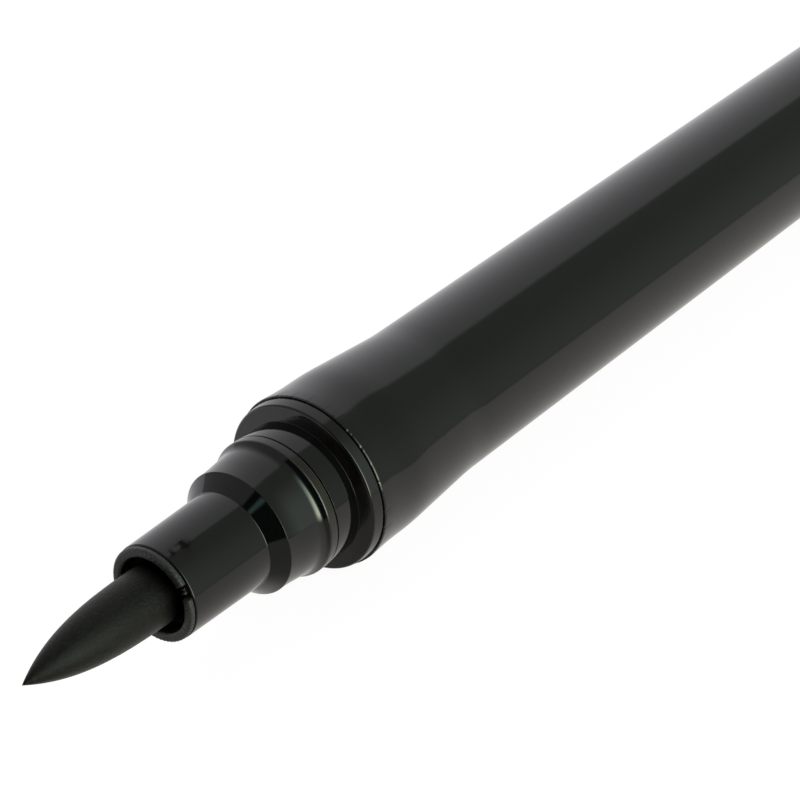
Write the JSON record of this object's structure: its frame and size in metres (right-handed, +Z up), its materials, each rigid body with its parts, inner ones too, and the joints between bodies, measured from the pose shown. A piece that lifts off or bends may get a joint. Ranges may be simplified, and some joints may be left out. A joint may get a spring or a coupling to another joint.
{
  "type": "liquid eyeliner pen",
  "caption": "Felt-tipped liquid eyeliner pen: glossy black barrel, stepped nozzle with a vented lip, comb collector and ink tank inside, and a push-on cap laid off in line with the tip.",
  "frame": {"origin": "floor point under the middle of the whole layout, the pen with its cap laid off in line", "axes": "+X along the pen's axis from the cap and the tip to the tail, +Y across, +Z up; the pen lies level with its axis above Y = 0"},
  "size_m": [0.1796, 0.0112, 0.0111],
  "materials": {
    "gloss_black": "high-gloss black moulded plastic",
    "satin_black": "satin black moulded plastic",
    "inked_felt": "dense ink-soaked felt",
    "wick_fibre": "bundled fibre rod stained with ink",
    "white_moulding": "natural white moulded plastic",
    "milky_tube": "milky moulded plastic",
    "soft_plug": "soft grey elastomer",
    "bright_steel": "polished steel"
  },
  "bodies": {
    "pen": {"barrel": "gloss_black", "nose_base": "gloss_black", "nozzle": "gloss_black", "tip_sleeve": "satin_black", "felt_tip": "inked_felt", "relay_wick": "wick_fibre", "collector": "white_moulding", "ink_tank": "milky_tube", "tank_plug": "soft_plug", "tail_cap": "gloss_black"},
    "cap": {"outer_cap": "gloss_black", "inner_cap": "milky_tube"},
    "ball": {"mixing_ball": "bright_steel"}
  },
  "joints": [
    {"name": "cap_slide", "type": "slide", "parent": "pen", "child": "cap", "axis": [1, 0, 0], "range_m": [0, 0.03506]},
    {"name": "ball_roll", "type": "slide", "parent": "pen", "child": "ball", "axis": [1, 0, 0], "range_m": [0, 0.0497]}
  ]
}
